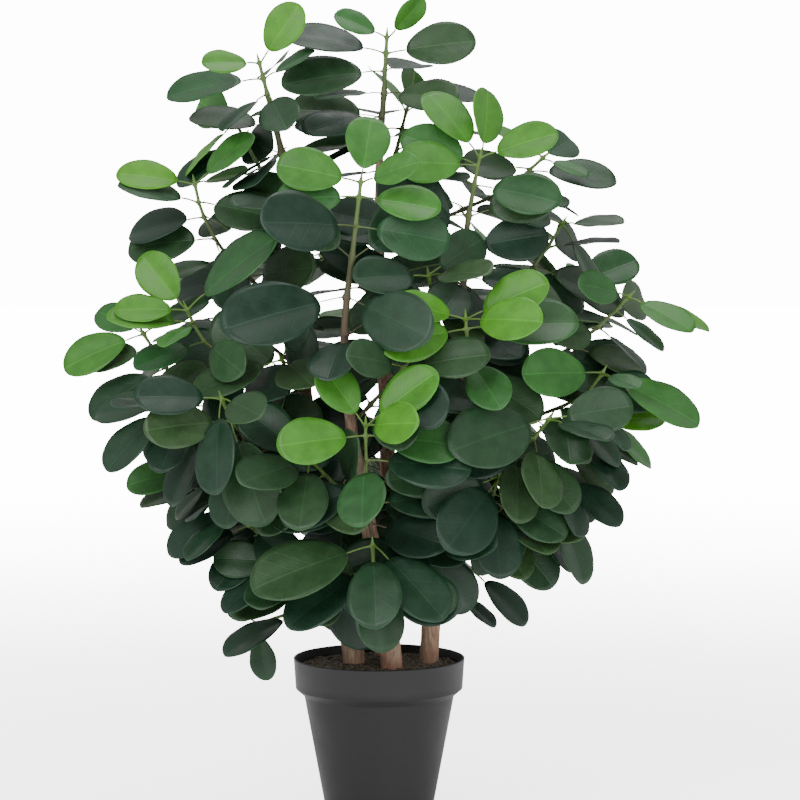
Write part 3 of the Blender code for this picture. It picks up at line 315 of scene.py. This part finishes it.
def makeBark():
    # Bark of a rubber plant's trunk: grey brown, reddish in patches, with shallow ridges and rough pores.
    material, tree, shader = newMaterial("ridged bark", IOR=1.45)
    place = addNode(tree, "ShaderNodeTexCoord")
    across, along = 1 / barkTints["ridgeWidth"], 1 / barkTints["ridgeLength"]
    stretched = addNode(tree, "ShaderNodeMapping",
                        {"Vector": place.outputs["Object"], "Scale": (across, across, along)})
    ridges = addNode(tree, "ShaderNodeTexNoise", {"Vector": stretched.outputs[0], "Scale": 1, "Detail": 5,
                                                  "Roughness": 0.6, "Distortion": 0.4})
    patches = addNode(tree, "ShaderNodeTexNoise", {"Vector": place.outputs["Object"],
                                                   "Scale": 1 / barkTints["patchSize"], "Detail": 2})
    pores = addNode(tree, "ShaderNodeTexVoronoi", {"Vector": place.outputs["Object"],
                                                   "Scale": 1 / barkTints["porePitch"]})
    colour = setStops(addNode(tree, "ShaderNodeValToRGB", {0: ridges.outputs[0]}), barkTints["colours"])
    reddish, mostRed = barkTints["reddish"]
    redShare = addNode(tree, "ShaderNodeMapRange",
                       ranged(patches.outputs[0], barkTints["patchEdge"], (0, mostRed)))
    tinted = addNode(tree, "ShaderNodeMix",
                     {0: redShare.outputs[0], 6: colour.outputs[0], 7: toLinear(reddish)}, data_type="RGBA")
    tree.links.new(tinted.outputs[2], shader.inputs["Base Color"])
    dry = addNode(tree, "ShaderNodeMapRange", ranged(ridges.outputs[0], noiseSpan, barkTints["roughness"]))
    tree.links.new(dry.outputs[0], shader.inputs["Roughness"])
    spots = addNode(tree, "ShaderNodeMapRange",
                    ranged(pores.outputs["Distance"], barkTints["poreEdge"], (barkTints["poreHeight"], 0)))
    relief = addNode(tree, "ShaderNodeMath", {0: ridges.outputs[0], 1: spots.outputs[0]}, operation="ADD")
    bump = addNode(tree, "ShaderNodeBump", {**barkTints["relief"], "Height": relief.outputs[0]})
    tree.links.new(bump.outputs[0], shader.inputs["Normal"])
    return material


soilTints = {
    "colours": [(0.3, "#332c26"), (0.5, "#5a5146"), (0.7, "#8a7f6f")],
    "crumbSize": 3.0 * mm,
    "roughness": (0.95, 0.82),
    "relief": {"Strength": 0.9, "Distance": 1.2 * mm},
}


def makeSoilMix():
    # Potting soil of peat and bark fines: dark, dry and crumbly, with no gloss.
    material, tree, shader = newMaterial("crumbly potting soil", IOR=1.4)
    place = addNode(tree, "ShaderNodeTexCoord")
    crumbs = addNode(tree, "ShaderNodeTexNoise", {"Vector": place.outputs["Object"],
                                                  "Scale": 1 / soilTints["crumbSize"], "Detail": 6,
                                                  "Roughness": 0.7})
    colour = setStops(addNode(tree, "ShaderNodeValToRGB", {0: crumbs.outputs[0]}), soilTints["colours"])
    tree.links.new(colour.outputs[0], shader.inputs["Base Color"])
    dry = addNode(tree, "ShaderNodeMapRange", ranged(crumbs.outputs[0], noiseSpan, soilTints["roughness"]))
    tree.links.new(dry.outputs[0], shader.inputs["Roughness"])
    bump = addNode(tree, "ShaderNodeBump", {**soilTints["relief"], "Height": crumbs.outputs[0]})
    tree.links.new(bump.outputs[0], shader.inputs["Normal"])
    return material


potTints = {
    "colours": [(0.35, "#050506"), (0.65, "#0a0a0b")],
    "cloudSize": 60 * mm,  # the faint cloudiness of moulded recycled plastic
    "rim": ("#1a1a1c", 0.8),  # greyer on the rim band
    "rimFrom": (128 * mm, 134 * mm),  # the height at which that greying comes in
    "roughness": (0.48, 0.60),
    "grainSize": 1.4 * mm,  # the fine spark-eroded grain of the mould, coarser than life so that it shows
    "relief": {"Strength": 0.35, "Distance": 0.15 * mm},
}


def makePotPlastic():
    # Moulded black polypropylene: a fine matt grain off the mould, slightly cloudy, and greyer on the rim
    # band.
    material, tree, shader = newMaterial("moulded polypropylene", IOR=1.49, Specular_IOR_Level=0.4)
    place = addNode(tree, "ShaderNodeTexCoord")
    clouds = addNode(tree, "ShaderNodeTexNoise", {"Vector": place.outputs["Object"],
                                                  "Scale": 1 / potTints["cloudSize"], "Detail": 4})
    grain = addNode(tree, "ShaderNodeTexNoise", {"Vector": place.outputs["Object"],
                                                 "Scale": 1 / potTints["grainSize"], "Detail": 2})
    colour = setStops(addNode(tree, "ShaderNodeValToRGB", {0: clouds.outputs[0]}), potTints["colours"])
    parts = addNode(tree, "ShaderNodeSeparateXYZ", {0: place.outputs["Object"]})
    rimGrey, mostGrey = potTints["rim"]
    # the rim band is drawn greyer than the body, above a given height
    greyerOnRim = addNode(tree, "ShaderNodeMapRange",
                      ranged(parts.outputs[2], potTints["rimFrom"], (0, mostGrey)))
    greyed = addNode(tree, "ShaderNodeMix",
                     {0: greyerOnRim.outputs[0], 6: colour.outputs[0], 7: toLinear(rimGrey)}, data_type="RGBA")
    tree.links.new(greyed.outputs[2], shader.inputs["Base Color"])
    matt = addNode(tree, "ShaderNodeMapRange", ranged(clouds.outputs[0], noiseSpan, potTints["roughness"]))
    tree.links.new(matt.outputs[0], shader.inputs["Roughness"])
    bump = addNode(tree, "ShaderNodeBump", {**potTints["relief"], "Height": grain.outputs[0]})
    tree.links.new(bump.outputs[0], shader.inputs["Normal"])
    return material


leafTop, leafUnder = makeLeafTop(), makeLeafUnder()
twigSkin, bark = makeTwigSkin(), makeBark()
soilMix, potPlastic = makeSoilMix(), makePotPlastic()
print("materials made")


leafShape = {
    "cells": 6,  # faces along and across a blade
    "rounding": 1,
    "basePinch": 0.30,  # how much the outline draws in towards the stalk
    "widen": 1.20,  # blade over CAD blade
    "lengthen": 1.06,
    "fold": 0.15,  # rise of the margins over the half width
    "sag": 0.10,  # the tip's drop over the length
    "sagSpread": (0.8, 1.25),
    "ribGroove": 0.7 * mm,
    "edgeRoll": 1.2 * mm,  # the margin's turn down
    "waviness": 0.9 * mm,  # height of the margins' waves, at most
    "wavinessSpread": (0.3, 1),
    "waves": 7,  # radians of wave over half the length
    "waveOffset": 1.3,  # radians by which one margin's waves run ahead of the other's
    "twist": 0.10,  # rise of one margin at the tip over the half width, at most
    "thickness": 0.6 * mm,
    "unevenAge": 0.10,  # how much riper a leaf may be than its blade's size says
}
leafReading = {  # how a blade of a CAD shoot is recognised
    "youngThickness": 1.1 * mm,
    "oldThickness": 1.7 * mm,
    "widestShare": 0.96,  # the wide ring's width over the blade's
    "lateLength": (64 * mm, 104 * mm),  # a blade longer than the first is older than its thickness says
    "flatness": math.radians(1),
    "capThinness": 3,  # a blade's end is at least this much wider than thick, and a bud's end is square
}
lateShoots = {  # whose leaves are this much riper than their blades say
    "shoot_spine_front": 0.18,
    "shoot_spine_right": 0.08,
    "shoot_brow_right": 0.15,
    "shoot_crown_back": 0.10,
    "shoot_far_left": 0.10,
    "shoot_front_low": 0.05,
    "shoot_hip_left": 0.35,
    "shoot_back_right_wide": 0.40,
    "shoot_back_spine": 0.25,
}


def nextRing(ring, before):
    # the corners that follow a ring of corners along a leaf
    linked = {edge.other_vert(corner) for corner in ring for edge in corner.link_edges}
    return linked - ring - before


def endCaps(bm):
    # the flat four-cornered ends of leaves and twigs, each with whether it is thin like a blade's
    for edge in bm.edges:
        one, other = edge.link_faces
        if one.normal.angle(other.normal, 1) > leafReading["flatness"]:
            continue
        cap = set(one.verts) | set(other.verts)
        if len(nextRing(cap, set())) == 4:
            spans = sorted((a.co - b.co).length for a, b in combinations(cap, 2))
            yield cap, spans[-1] > leafReading["capThinness"] * spans[0]


def findLeaves(bm):
    # each leaf's rings of corners: stalk end, lower blade, wide blade, tip
    found = []
    for cap, thin in endCaps(bm):
        rings = [set(), cap]
        for _ in range(3):
            rings.append(nextRing(rings[-1], rings[-2]))
        if thin and all(len(ring) == 4 for ring in rings[1:]):
            found.append(rings[:0:-1])
    return found


def middle(corners):
    return sum((corner.co for corner in corners), Vector()) / len(corners)


def readLeaf(rings):
    # where the blade starts, its three directions, its size and how ripe it is
    stalkEnd, _, wide, tip = rings
    margins = max(combinations(wide, 2), key=lambda pair: (pair[0].co - pair[1].co).length)
    ribCorners = [corner for corner in wide if corner not in margins]
    up = (middle(margins) - middle(ribCorners)).normalized()
    across = margins[0].co - margins[1].co
    width = across.length / leafReading["widestShare"]
    base = middle(stalkEnd)
    reach = middle(tip) - base
    forward = up.cross(across).normalized()
    if reach.dot(forward) < 0:
        forward.negate()
    thickness = (ribCorners[0].co - ribCorners[1].co).length
    length = reach.dot(forward)
    young, old = leafReading["youngThickness"], leafReading["oldThickness"]
    short, long = leafReading["lateLength"]
    ripeness = max(0, (thickness - young) / (old - young)) + max(0, (length - short) / (long - short))
    return {
        "base": base, "forward": forward, "up": up, "across": forward.cross(up), "length": length,
        "width": width, "ripeness": ripeness,
    }


def shapeBlade(bm, layers, leaf, late, chance):
    # a grid drawn to a disc, then to the oval of a blade, folded at its rib and drooping to its tip
    cells = leafShape["cells"]
    made = bmesh.ops.create_grid(bm, x_segments=cells, y_segments=cells, size=1)["verts"]
    phase = chance.uniform(0, 2 * math.pi)
    wave = leafShape["waviness"] * chance.uniform(*leafShape["wavinessSpread"])
    twist = leafShape["twist"] * chance.uniform(-1, 1)
    sag = leafShape["sag"] * chance.uniform(*leafShape["sagSpread"])
    tint = chance.random()
    ripeness = min(1, leaf["ripeness"] + late + chance.uniform(0, leafShape["unevenAge"]))
    length = leaf["length"] * leafShape["lengthen"]
    halfWidth = leaf["width"] / 2 * leafShape["widen"]
    discPlace = {}
    for corner in made:
        s, t = corner.co.x, corner.co.y
        x = s * math.sqrt(1 - t * t / 2)
        y = t * math.sqrt(1 - s * s / 2)
        discPlace[corner] = (0.5 + x / 2, 0.5 + y / 2)
        share = (1 + y) / 2
        sideways = x * halfWidth * (1 - leafShape["basePinch"] * (1 - share) ** 2)
        rise = leafShape["fold"] * abs(sideways) - sag * length * share ** 2
        rise += twist * sideways * share
        rise -= leafShape["edgeRoll"] * x ** 4
        ahead = leafShape["waveOffset"] if x > 0 else 0
        rise += wave * x * x * math.sin(leafShape["waves"] * y + phase + ahead)
        if abs(s) < 1 / cells:
            rise -= leafShape["ribGroove"]
        along = leaf["base"] + leaf["forward"] * (share * length)
        corner.co = along + leaf["across"] * sideways + leaf["up"] * rise
        corner[layers["ripeness"]] = ripeness
        corner[layers["tint"]] = tint
    for face in {face for corner in made for face in corner.link_faces}:
        for loop in face.loops:
            loop[layers["blade"]].uv = discPlace[loop.vert]
        face.normal_update()
        if face.normal.dot(leaf["up"]) < 0:
            face.normal_flip()


def makeLeaves(name, leaves):
    # all blades of a shoot as one piece: thin sheets that live modifiers round and thicken
    bm = bmesh.new()
    layers = {
        "ripeness": bm.verts.layers.float.new("ripeness"),
        "tint": bm.verts.layers.float.new("tint"),
        "blade": bm.loops.layers.uv.new("blade"),
    }
    chance = random.Random(name)
    for leaf in leaves:
        shapeBlade(bm, layers, leaf, lateShoots.get(name, 0), chance)
    piece = addPiece(name + "_leaves", bm, [leafTop, leafUnder], name)
    roundOff(piece, leafShape["rounding"])
    wall = piece.modifiers.new("thickness", "SOLIDIFY")
    wall.thickness = leafShape["thickness"]
    wall.offset = -1
    wall.material_offset = 1
    wall.use_even_offset = False


twigShape = {
    "greenLength": 170 * mm,  # from the bud, over which a twig turns brown
    "rooted": 3 * mm,  # how far a twig's foot is moved to its stem, before rounding draws it back
    "stalkRadius": 1.25 * mm,  # of a stalk's square corners, rounded off later
    "collar": [(0.07, 1.9 * mm), (0.16, 1.3 * mm)],  # a stalk's swollen foot: length shares and radii
    "shaft": (0.45, 0.75, 1.05),  # shares of the length; it runs on a little under the blade
    "stalkArch": 0.05,  # how far a stalk bows up, over its length
    "rounding": 2,
}


def growStalk(bm, face, leaf):
    # a leaf stalk extruded from its side of the twig: a swollen foot, then a thin bowed shaft
    foot = face.calc_center_median()
    way = leaf["base"] - foot
    shaft = [(share, twigShape["stalkRadius"]) for share in twigShape["shaft"]]
    for share, radius in twigShape["collar"] + shaft:
        face = bmesh.ops.extrude_discrete_faces(bm, faces=[face])["faces"][0]
        bow = way.length * twigShape["stalkArch"] * math.sin(math.pi * share)
        centre = foot + way * share + leaf["up"] * bow
        old = face.calc_center_median()
        turn = face.normal.rotation_difference(way)
        for corner in face.verts:
            corner.co = centre + (turn @ (corner.co - old)).normalized() * radius
        face.normal_update()


def makeTwig(name, bm, leafRings, leaves):
    # the CAD twig without its leaves, its foot moved to the stem, given thin stalks and rounded
    caps = [cap for cap, thin in endCaps(bm) if not thin]
    foot = min(caps, key=lambda cap: stemSurface.find_nearest(middle(cap))[3])
    bud = max(caps, key=lambda cap: (middle(cap) - middle(foot)).length)
    footPlace, budPlace = middle(foot), middle(bud)
    inwards = (footPlace - middle(nextRing(foot, set()))).normalized()
    bmesh.ops.translate(bm, verts=list(foot), vec=inwards * twigShape["rooted"])
    sockets = [nextRing(rings[0], rings[1]) for rings in leafRings]
    leafCorners = list(set().union(*(corners for rings in leafRings for corners in rings)))
    bmesh.ops.delete(bm, geom=leafCorners, context="VERTS")
    bmesh.ops.join_triangles(bm, faces=bm.faces[:], **quadAngles)
    for socket, leaf in zip(sockets, leaves):
        border = [edge for edge in bm.edges
                  if len(edge.link_faces) < 2 and socket.issuperset(edge.verts)]
        filled = bmesh.ops.contextual_create(bm, geom=border)["faces"]
        bmesh.ops.recalc_face_normals(bm, faces=bm.faces)
        growStalk(bm, filled[0], leaf)
    bmesh.ops.recalc_face_normals(bm, faces=bm.faces)
    ripeness = bm.verts.layers.float.new("ripeness")
    for corner in bm.verts:
        corner[ripeness] = min(1, (corner.co - budPlace).length / twigShape["greenLength"])
    piece = addPiece(name + "_twig", bm, [twigSkin], name)
    roundOff(piece, twigShape["rounding"])


stemShape = {
    "rounding": 3,
    "lump": 0.9 * mm,
    "lumpSize": 14 * mm,
    "ridge": 0.5 * mm,
    "ridgeAcross": (700, 500, 400),  # how fast the ridges' noise runs per metre of x, of y, and of y again
    "ridgeAlong": 40,  # and per metre of height, much slower, so that they run up the stem
}


def makeStem(name):
    # the CAD stem rounded, then given lumps and shallow ridges that wander round it
    bm = mergedCopy(name)
    bmesh.ops.join_triangles(bm, faces=bm.faces[:], **quadAngles)
    piece = addPiece(name + "_bark", bm, [bark], name)
    subsurf = roundOff(piece, stemShape["rounding"])
    bpy.context.view_layer.update()
    finer = bpy.data.meshes.new_from_object(piece.evaluated_get(bpy.context.evaluated_depsgraph_get()))
    piece.modifiers.remove(subsurf)
    piece.data = finer
    finer.shade_smooth()
    outwards = [vertex.normal.copy() for vertex in finer.vertices]
    perX, perY, perDepth = stemShape["ridgeAcross"]
    for vertex, outward in zip(finer.vertices, outwards):
        lump = noise.noise(vertex.co / stemShape["lumpSize"])
        around = vertex.co.x * perX + vertex.co.y * perY
        up = vertex.co.z * stemShape["ridgeAlong"]
        ridge = noise.noise(Vector((around, vertex.co.y * perDepth, up)))
        vertex.co += outward * (stemShape["lump"] * lump + stemShape["ridge"] * ridge)


stemSkin = bmesh.new()
for stemName in stemNames:
    stemSkin.from_mesh(nodes[stemName].data)
stemSurface = BVHTree.FromBMesh(stemSkin)
stemSkin.free()

for stemName in stemNames:
    makeStem(stemName)
print("stems made")

leafCount = 0
for shootName in shootNames:
    shootSkin = mergedCopy(shootName)
    ringsOfLeaves = findLeaves(shootSkin)
    shootLeaves = [readLeaf(rings) for rings in ringsOfLeaves]
    makeTwig(shootName, shootSkin, ringsOfLeaves, shootLeaves)
    makeLeaves(shootName, shootLeaves)
    leafCount += len(shootLeaves)
print("leaves made:", leafCount)


potShape = {
    "baseRadius": 53.5 * mm,
    "footRound": 1.2 * mm,
    "bodyRadius": 75.5 * mm,
    "rimHeight": 31 * mm,
    "rimTaper": 2 * mm,
    "rimShoulder": 7 * mm,
    "wall": 1.8 * mm,
    "floor": 2.5 * mm,
    "lip": 0.9 * mm,  # radius of the rounded lip
    # the outer profile's points at the shoulder and at the rim's foot: how far out and up from there
    "shoulderBend": [(-0.3 * mm, -1.5 * mm), (0, 0), (1.0 * mm, 0.8 * mm)],
    "rimBend": [(-1.2 * mm, -0.8 * mm), (-0.2 * mm, 0), (0, 0.8 * mm)],
    "lipBend": (-0.1 * mm, -1.08 * mm),  # and under the lip, from the rim's top
    "steps": 144,
    "sharpAngle": math.radians(35),
    "drainHoles": 5,
    "drainRadius": 5 * mm,
    "drainCircle": 34 * mm,
    "drainSides": 32,
}
lowCorner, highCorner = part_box("nursery_pot")
potHeight = highCorner.z
rimRadius = (highCorner.x - lowCorner.x) / 2


def arc(centre, radius, fromDegrees, toDegrees, steps):
    # points of a round corner, as (radius, height)
    turn = toDegrees - fromDegrees
    angles = [math.radians(fromDegrees + turn * i / steps) for i in range(steps + 1)]
    return [(centre[0] + radius * math.cos(a), centre[1] + radius * math.sin(a)) for a in angles]


def spinProfile(profile, steps):
    # a profile of (radius, height) points turned about the upright axis
    bm = bmesh.new()
    corners = [bm.verts.new((radius, 0, height)) for radius, height in profile]
    lines = [bm.edges.new(pair) for pair in zip(corners, corners[1:])]
    bmesh.ops.spin(bm, geom=corners + lines, cent=(0, 0, 0), axis=(0, 0, 1), angle=2 * math.pi,
                   steps=steps, use_merge=True)
    bmesh.ops.remove_doubles(bm, verts=bm.verts, dist=mergeDistance)
    bmesh.ops.recalc_face_normals(bm, faces=bm.faces)
    return bm


def makePot():
    # the pot's shell, turned from its profile, with the drain holes drilled through its floor
    wall, lip, footRound = potShape["wall"], potShape["lip"], potShape["footRound"]
    baseRadius, bodyRadius = potShape["baseRadius"], potShape["bodyRadius"]
    rimFoot = potHeight - potShape["rimHeight"]
    shoulder = rimFoot - potShape["rimShoulder"]
    rimFootRadius = rimRadius - potShape["rimTaper"]
    profile = [(0, 0), (baseRadius - footRound, 0)]
    profile += arc((baseRadius - footRound, footRound), footRound, -70, 0, 4)
    profile += [(bodyRadius + out, shoulder + up) for out, up in potShape["shoulderBend"]]
    profile += [(rimFootRadius + out, rimFoot + up) for out, up in potShape["rimBend"]]
    profile += [(rimRadius + potShape["lipBend"][0], potHeight + potShape["lipBend"][1])]
    profile += arc((rimRadius - lip, potHeight - lip), lip, 0, 180, 8)
    profile += [(rimFootRadius - wall, rimFoot + wall), (bodyRadius - wall, shoulder + wall)]
    profile += [(baseRadius - wall, potShape["floor"]), (0, potShape["floor"])]
    bm = spinProfile(profile, potShape["steps"])
    pot = addPiece("pot_shell", bm, [potPlastic], "nursery_pot")
    drill = bmesh.new()
    for i in range(potShape["drainHoles"]):
        around = 2 * math.pi * i / potShape["drainHoles"]
        place = Vector((math.cos(around), math.sin(around), 0)) * potShape["drainCircle"]
        bmesh.ops.create_cone(drill, cap_ends=True, segments=potShape["drainSides"],
                              radius1=potShape["drainRadius"], radius2=potShape["drainRadius"],
                              depth=4 * potShape["floor"], matrix=Matrix.Translation(place))
    drillMesh = bpy.data.meshes.new("drain drill")
    drill.to_mesh(drillMesh)
    drill.free()
    drillPiece = bpy.data.objects.new("drain drill", drillMesh)
    bpy.context.scene.collection.objects.link(drillPiece)
    holes = pot.modifiers.new("drain holes", "BOOLEAN")
    holes.object = drillPiece
    holes.solver = "EXACT"
    bpy.context.view_layer.update()
    drilled = bpy.data.meshes.new_from_object(pot.evaluated_get(bpy.context.evaluated_depsgraph_get()))
    pot.modifiers.remove(holes)
    pot.data = drilled
    bpy.data.objects.remove(drillPiece)
    drilled.shade_smooth()
    drilled.set_sharp_from_angle(angle=potShape["sharpAngle"])


soilShape = {
    "drop": 9 * mm,  # its edge below the rim
    "mound": 5 * mm,
    "clearance": 0.4 * mm,
    "ringPitch": 2.5 * mm,
    "steps": 132,
    "roughness": 2.2 * mm,
    "roughSize": 9 * mm,
    "roughSteps": (0.8, 2.1, 5),  # fall-off, size ratio and number of the finer and finer lumps
    "crumbs": 420,
    "crumbRadius": (0.9 * mm, 2.6 * mm),
    "crumbLeast": 0.5,  # a crumb's radius is drawn smaller still, down to this share
    "crumbSquash": [(0.7, 1.4), (0.7, 1.2), (0.5, 0.9)],
}


def soilHeight(radius, edgeRadius):
    return potHeight - soilShape["drop"] + soilShape["mound"] * (1 - (radius / edgeRadius) ** 2)


def soilRise(place):
    # how far the soil's lumps rise or sink at a place on its mound
    return soilShape["roughness"] * noise.fractal(place / soilShape["roughSize"], *soilShape["roughSteps"])


def makeSoil():
    # the plug of soil with a rough mounded top, and loose crumbs pressed into it
    rimFoot = potHeight - potShape["rimHeight"]
    shoulder = rimFoot - potShape["rimShoulder"]
    inner = potShape["wall"] + soilShape["clearance"]
    edgeRadius = rimRadius - potShape["rimTaper"] - inner
    rings = round(edgeRadius / soilShape["ringPitch"])
    radii = [edgeRadius * i / rings for i in range(rings + 1)]
    top = [(radius, soilHeight(radius, edgeRadius)) for radius in radii]
    floor = potShape["floor"] + soilShape["clearance"]
    wall = [(edgeRadius, rimFoot + inner), (potShape["bodyRadius"] - inner, shoulder + inner),
            (potShape["baseRadius"] - inner, floor), (0, floor)]
    bm = spinProfile(top + wall, soilShape["steps"])
    for corner in bm.verts:
        flat = math.hypot(corner.co.x, corner.co.y)
        onTop = corner.co.z > potHeight - soilShape["drop"] - 1 * mm
        if onTop and flat < edgeRadius - 1 * mm:
            corner.co.z += soilRise(corner.co)
    chance = random.Random("crumbs")
    for _ in range(soilShape["crumbs"]):
        radius = chance.uniform(*soilShape["crumbRadius"]) * chance.uniform(soilShape["crumbLeast"], 1)
        out = (edgeRadius - 2 * radius) * math.sqrt(chance.random())
        around = chance.uniform(0, 2 * math.pi)
        place = Vector((out * math.cos(around), out * math.sin(around), soilHeight(out, edgeRadius)))
        place.z = soilHeight(out, edgeRadius) + soilRise(place)
        squash = Matrix.Diagonal([*(chance.uniform(*span) for span in soilShape["crumbSquash"]), 1])
        turn = Matrix.Rotation(chance.uniform(0, math.pi), 4, chance.choice("XYZ"))
        bmesh.ops.create_icosphere(bm, subdivisions=1, radius=radius,
                                   matrix=Matrix.Translation(place) @ turn @ squash)
    addPiece("soil_top", bm, [soilMix], "potting_soil")


makePot()
makeSoil()
print("pot and soil made")


studio = {
    "floor": "#f2f2f2",
    "floorSize": 14,  # metres from its middle to its edge
    "world": 0.8,
    "backdrop": 14,  # the world's brightness where the camera sees it
    "floorGlow": (2.6, 14),  # the floor's own brightness by the pot and far away, for the camera only
    "floorBounce": 0.5,  # the light that it adds from below
    "glowReach": (0.5, 3.5),  # metres from the pot, between which it rises
    "key": (70, 1.6, (-1.2, -2.2, 2.0)),  # watts, size and place in metres
    "fill": (45, 1.8, (1.4, -2.6, 0.6)),
    "top": (35, 1.6, (0.3, 0.5, 2.8)),
    "aim": (0.0, 0.0, 0.42),
}


def makeStudio():
    # a pale floor that glows for the camera as brightly as the backdrop, and three soft lights
    floorMesh = bmesh.new()
    bmesh.ops.create_grid(floorMesh, x_segments=1, y_segments=1, size=studio["floorSize"])
    mesh = bpy.data.meshes.new("studio floor")
    floorMesh.to_mesh(mesh)
    floorMesh.free()
    material, tree, shader = newMaterial("pale studio floor", Base_Color=toLinear(studio["floor"]),
                                         Roughness=0.9)
    seen = addNode(tree, "ShaderNodeLightPath")
    place = addNode(tree, "ShaderNodeTexCoord")
    far = addNode(tree, "ShaderNodeVectorMath", {0: place.outputs["Object"]}, operation="LENGTH")
    glow = addNode(tree, "ShaderNodeMapRange",
                   ranged(far.outputs["Value"], studio["glowReach"], studio["floorGlow"]),
                   interpolation_type="SMOOTHSTEP")
    shown = addNode(tree, "ShaderNodeMath", {0: glow.outputs[0], 1: seen.outputs["Is Camera Ray"],
                                             2: studio["floorBounce"]}, operation="MULTIPLY_ADD")
    shader.inputs["Emission Color"].default_value = (1, 1, 1, 1)
    tree.links.new(shown.outputs[0], shader.inputs["Emission Strength"])
    mesh.materials.append(material)
    floor = bpy.data.objects.new("studio floor", mesh)
    bpy.context.scene.collection.objects.link(floor)
    world = bpy.data.worlds.new("pale studio")
    world.use_nodes = True
    background = world.node_tree.nodes["Background"]
    background.inputs["Color"].default_value = (1, 1, 1, 1)
    seen = addNode(world.node_tree, "ShaderNodeLightPath")
    strength = addNode(world.node_tree, "ShaderNodeMapRange",
                       ranged(seen.outputs["Is Camera Ray"], (0, 1), (studio["world"], studio["backdrop"])))
    world.node_tree.links.new(strength.outputs[0], background.inputs["Strength"])
    bpy.context.scene.world = world
    for name in ("key", "fill", "top"):
        watts, size, place = studio[name]
        light = bpy.data.lights.new(name + " light", "AREA")
        light.energy = watts
        light.size = size
        lamp = bpy.data.objects.new(name + " light", light)
        bpy.context.scene.collection.objects.link(lamp)
        lamp.location = place
        towards = Vector(studio["aim"]) - Vector(place)
        lamp.rotation_euler = towards.to_track_quat("-Z", "Y").to_euler()


view = {
    "target": (0.021, 0.0, 0.417),
    "distance": 2.8,
    "elevation": 4,  # degrees
    "lens": 126,
    "sensor": 36,
}


def makeCamera():
    lens = bpy.data.cameras.new("camera")
    lens.lens = view["lens"]
    lens.sensor_width = view["sensor"]
    camera = bpy.data.objects.new("camera", lens)
    bpy.context.scene.collection.objects.link(camera)
    rise = math.radians(view["elevation"])
    back = Vector((0, -math.cos(rise), math.sin(rise))) * view["distance"]
    camera.location = Vector(view["target"]) + back
    camera.rotation_euler = (-back).to_track_quat("-Z", "Y").to_euler()
    bpy.context.scene.camera = camera


makeStudio()
makeCamera()
print("studio made")
